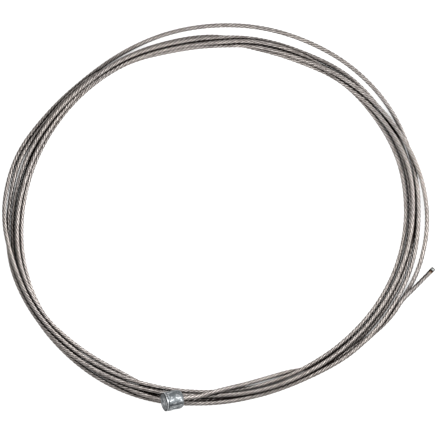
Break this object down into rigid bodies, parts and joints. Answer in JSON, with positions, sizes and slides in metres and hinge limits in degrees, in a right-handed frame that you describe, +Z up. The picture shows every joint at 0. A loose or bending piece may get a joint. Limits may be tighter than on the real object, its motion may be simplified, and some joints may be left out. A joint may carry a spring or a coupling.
{
  "type": "shift cable",
  "caption": "Coiled stranded steel inner cable for a bicycle gear shifter, with a cast barrel head at one end and a fused tip at the other.",
  "frame": {"origin": "middle of the part's outer box, on the surface that the coil lies on", "axes": "+Z up out of the coil's plane, +X along the coil's longer width with the free end pointing that way, +Y along its shorter width, away from the barrel head"},
  "size_m": [0.1182, 0.1058, 0.0097],
  "materials": {
    "stainless_steel": "bright drawn and stranded wire",
    "cast_zinc": "as cast, dull blue grey with brighter streaks"
  },
  "bodies": {
    "root": {"wire_rope": "stainless_steel", "barrel_head": "cast_zinc"}
  },
  "joints": []
}
